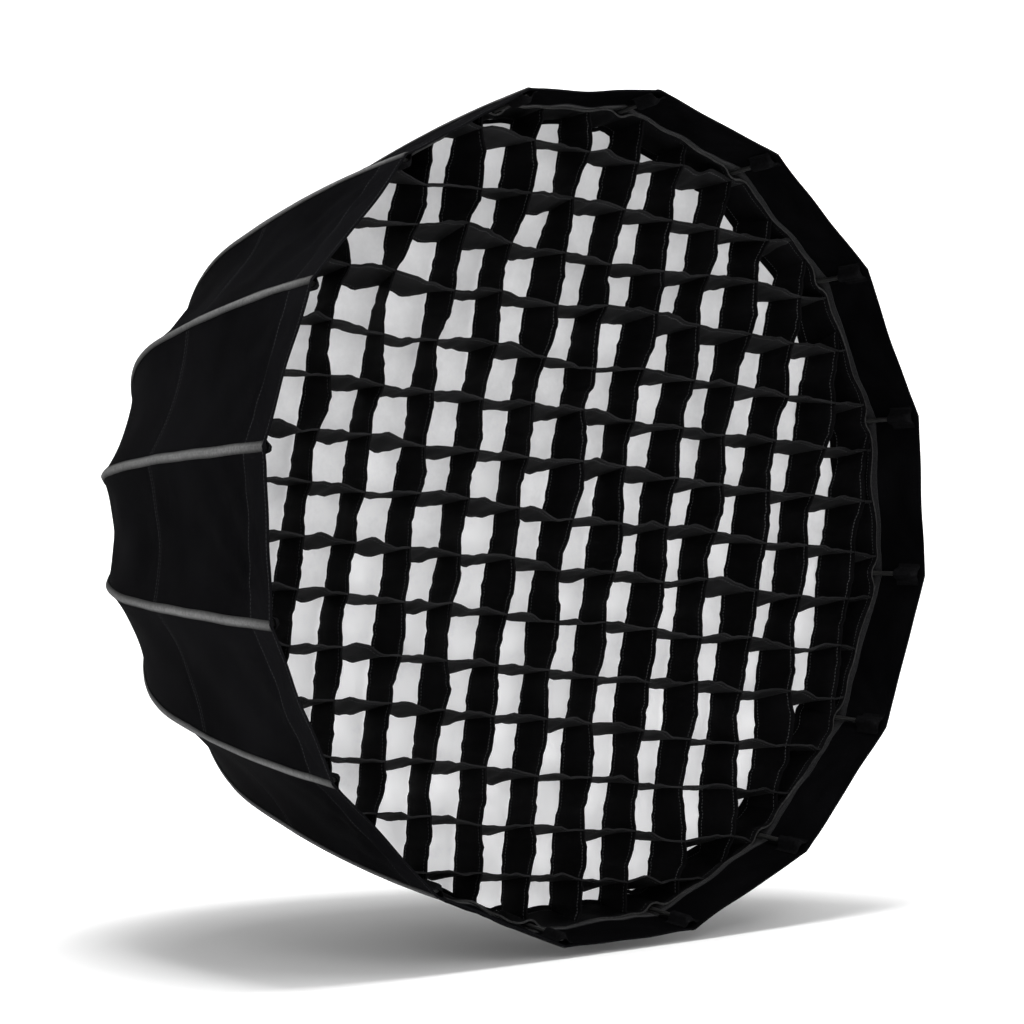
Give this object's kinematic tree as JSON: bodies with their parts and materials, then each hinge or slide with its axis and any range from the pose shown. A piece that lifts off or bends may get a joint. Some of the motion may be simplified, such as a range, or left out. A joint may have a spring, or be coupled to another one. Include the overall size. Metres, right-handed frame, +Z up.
{
  "type": "parabolic softbox",
  "caption": "Deep parabolic softbox with folding ribs, fabric shell, inner baffle, front diffuser, fabric grid and bayonet mount.",
  "frame": {"origin": "centre of the bayonet insert, in the plane of its seating face", "axes": "+Y along the optical axis towards the lamp, the mouth faces -Y, +Z up"},
  "size_m": [0.887, 0.6826, 0.887],
  "materials": {
    "shell_cloth": "woven nylon with silver inside",
    "grey_tape": "woven grey webbing",
    "black_tape": "woven tape",
    "white_cloth": "translucent diffusion cloth",
    "grid_cloth": "black nylon strips",
    "steel": "zinc plated",
    "bright_metal": "turned",
    "dark_metal": "black anodised",
    "black_plastic": "moulded",
    "rod_fibre": "fibreglass"
  },
  "bodies": {
    "mount": {"bayonet_insert": "bright_metal"},
    "hub": {"hub_ring": "dark_metal", "hub_cover": "black_plastic", "hinge_pins": "steel", "hub_screws": "steel", "canopy_hem": "shell_cloth", "canopy_front_gores": "shell_cloth", "canopy_rear_gores": "shell_cloth", "seam_tapes": "grey_tape", "tip_pockets": "shell_cloth", "loop_tape": "black_tape", "inner_baffle": "white_cloth", "baffle_rim": "black_tape", "baffle_straps": "black_tape", "baffle_buttons": "steel"},
    "release": {"release_ring": "black_plastic"},
    "knob_1": {"knob_1": "black_plastic", "clamp_screw_1": "steel"},
    "knob_2": {"knob_2": "black_plastic", "clamp_screw_2": "steel"},
    "knob_3": {"knob_3": "black_plastic", "clamp_screw_3": "steel"},
    "diffuser": {"diffuser": "white_cloth", "diffuser_hem": "black_tape"},
    "grid": {"grid_columns": "grid_cloth", "grid_rows": "grid_cloth", "grid_border": "grid_cloth"},
    "rib_01": {"rib_rod_01": "rod_fibre", "rib_bracket_01": "dark_metal"},
    "rib_02": {"rib_rod_02": "rod_fibre", "rib_bracket_02": "dark_metal"},
    "rib_03": {"rib_rod_03": "rod_fibre", "rib_bracket_03": "dark_metal"},
    "rib_04": {"rib_rod_04": "rod_fibre", "rib_bracket_04": "dark_metal"},
    "rib_05": {"rib_rod_05": "rod_fibre", "rib_bracket_05": "dark_metal"},
    "rib_06": {"rib_rod_06": "rod_fibre", "rib_bracket_06": "dark_metal"},
    "rib_07": {"rib_rod_07": "rod_fibre", "rib_bracket_07": "dark_metal"},
    "rib_08": {"rib_rod_08": "rod_fibre", "rib_bracket_08": "dark_metal"},
    "rib_09": {"rib_rod_09": "rod_fibre", "rib_bracket_09": "dark_metal"},
    "rib_10": {"rib_rod_10": "rod_fibre", "rib_bracket_10": "dark_metal"},
    "rib_11": {"rib_rod_11": "rod_fibre", "rib_bracket_11": "dark_metal"},
    "rib_12": {"rib_rod_12": "rod_fibre", "rib_bracket_12": "dark_metal"},
    "rib_13": {"rib_rod_13": "rod_fibre", "rib_bracket_13": "dark_metal"},
    "rib_14": {"rib_rod_14": "rod_fibre", "rib_bracket_14": "dark_metal"},
    "rib_15": {"rib_rod_15": "rod_fibre", "rib_bracket_15": "dark_metal"},
    "rib_16": {"rib_rod_16": "rod_fibre", "rib_bracket_16": "dark_metal"}
  },
  "joints": [
    {"name": "swivel", "type": "hinge", "parent": "mount", "child": "hub", "pos_m": [0, 0, 0], "axis": [0, 1, 0], "continuous": true},
    {"name": "fold", "type": "hinge", "parent": "hub", "child": "rib_01", "pos_m": [0.09023, -0.031, 0.01795], "axis": [0.1951, 0, -0.9808], "range_deg": [0, 27], "deforming": ["canopy_hem", "canopy_front_gores", "canopy_rear_gores", "seam_tapes", "tip_pockets", "loop_tape", "inner_baffle", "baffle_rim", "baffle_straps", "baffle_buttons", "diffuser", "diffuser_hem", "grid_columns", "grid_rows", "grid_border"]},
    {"name": "fold_02", "type": "hinge", "parent": "hub", "child": "rib_02", "pos_m": [0.0765, -0.031, 0.05111], "axis": [0.5556, 0, -0.8315], "range_deg": [0, 27]},
    {"name": "fold_03", "type": "hinge", "parent": "hub", "child": "rib_03", "pos_m": [0.05111, -0.031, 0.0765], "axis": [0.8315, 0, -0.5556], "range_deg": [0, 27]},
    {"name": "fold_04", "type": "hinge", "parent": "hub", "child": "rib_04", "pos_m": [0.01795, -0.031, 0.09023], "axis": [0.9808, 0, -0.1951], "range_deg": [0, 27]},
    {"name": "fold_05", "type": "hinge", "parent": "hub", "child": "rib_05", "pos_m": [-0.01795, -0.031, 0.09023], "axis": [0.9808, 0, 0.1951], "range_deg": [0, 27]},
    {"name": "fold_06", "type": "hinge", "parent": "hub", "child": "rib_06", "pos_m": [-0.05111, -0.031, 0.0765], "axis": [0.8315, 0, 0.5556], "range_deg": [0, 27]},
    {"name": "fold_07", "type": "hinge", "parent": "hub", "child": "rib_07", "pos_m": [-0.0765, -0.031, 0.05111], "axis": [0.5556, 0, 0.8315], "range_deg": [0, 27]},
    {"name": "fold_08", "type": "hinge", "parent": "hub", "child": "rib_08", "pos_m": [-0.09023, -0.031, 0.01795], "axis": [0.1951, 0, 0.9808], "range_deg": [0, 27]},
    {"name": "fold_09", "type": "hinge", "parent": "hub", "child": "rib_09", "pos_m": [-0.09023, -0.031, -0.01795], "axis": [-0.1951, 0, 0.9808], "range_deg": [0, 27]},
    {"name": "fold_10", "type": "hinge", "parent": "hub", "child": "rib_10", "pos_m": [-0.0765, -0.031, -0.05111], "axis": [-0.5556, 0, 0.8315], "range_deg": [0, 27]},
    {"name": "fold_11", "type": "hinge", "parent": "hub", "child": "rib_11", "pos_m": [-0.05111, -0.031, -0.0765], "axis": [-0.8315, 0, 0.5556], "range_deg": [0, 27]},
    {"name": "fold_12", "type": "hinge", "parent": "hub", "child": "rib_12", "pos_m": [-0.01795, -0.031, -0.09023], "axis": [-0.9808, 0, 0.1951], "range_deg": [0, 27]},
    {"name": "fold_13", "type": "hinge", "parent": "hub", "child": "rib_13", "pos_m": [0.01795, -0.031, -0.09023], "axis": [-0.9808, 0, -0.1951], "range_deg": [0, 27]},
    {"name": "fold_14", "type": "hinge", "parent": "hub", "child": "rib_14", "pos_m": [0.05111, -0.031, -0.0765], "axis": [-0.8315, 0, -0.5556], "range_deg": [0, 27]},
    {"name": "fold_15", "type": "hinge", "parent": "hub", "child": "rib_15", "pos_m": [0.0765, -0.031, -0.05111], "axis": [-0.5556, 0, -0.8315], "range_deg": [0, 27]},
    {"name": "fold_16", "type": "hinge", "parent": "hub", "child": "rib_16", "pos_m": [0.09023, -0.031, -0.01795], "axis": [-0.1951, 0, -0.9808], "range_deg": [0, 27]},
    {"name": "release_turn", "type": "hinge", "parent": "hub", "child": "release", "pos_m": [0, -0.044, 0], "axis": [0, -1, 0], "range_deg": [0, 20]},
    {"name": "clamp_1", "type": "hinge", "parent": "hub", "child": "knob_1", "pos_m": [0, -0.009, 0.098], "axis": [0, 0, 1], "range_deg": [0, 720]},
    {"name": "clamp_2", "type": "hinge", "parent": "hub", "child": "knob_2", "pos_m": [-0.08487, -0.009, -0.049], "axis": [-0.866, 0, -0.5], "range_deg": [0, 720]},
    {"name": "clamp_3", "type": "hinge", "parent": "hub", "child": "knob_3", "pos_m": [0.08487, -0.009, -0.049], "axis": [0.866, 0, -0.5], "range_deg": [0, 720]},
    {"name": "diffuser_off", "type": "slide", "parent": "hub", "child": "diffuser", "axis": [0, -1, 0], "range_m": [0, 0.2]},
    {"name": "grid_off", "type": "slide", "parent": "diffuser", "child": "grid", "axis": [0, -1, 0], "range_m": [0, 0.12]}
  ],
  "couplings": [
    {"joint": "fold_02", "follows": "fold", "ratio": 1},
    {"joint": "fold_03", "follows": "fold", "ratio": 1},
    {"joint": "fold_04", "follows": "fold", "ratio": 1},
    {"joint": "fold_05", "follows": "fold", "ratio": 1},
    {"joint": "fold_06", "follows": "fold", "ratio": 1},
    {"joint": "fold_07", "follows": "fold", "ratio": 1},
    {"joint": "fold_08", "follows": "fold", "ratio": 1},
    {"joint": "fold_09", "follows": "fold", "ratio": 1},
    {"joint": "fold_10", "follows": "fold", "ratio": 1},
    {"joint": "fold_11", "follows": "fold", "ratio": 1},
    {"joint": "fold_12", "follows": "fold", "ratio": 1},
    {"joint": "fold_13", "follows": "fold", "ratio": 1},
    {"joint": "fold_14", "follows": "fold", "ratio": 1},
    {"joint": "fold_15", "follows": "fold", "ratio": 1},
    {"joint": "fold_16", "follows": "fold", "ratio": 1}
  ]
}
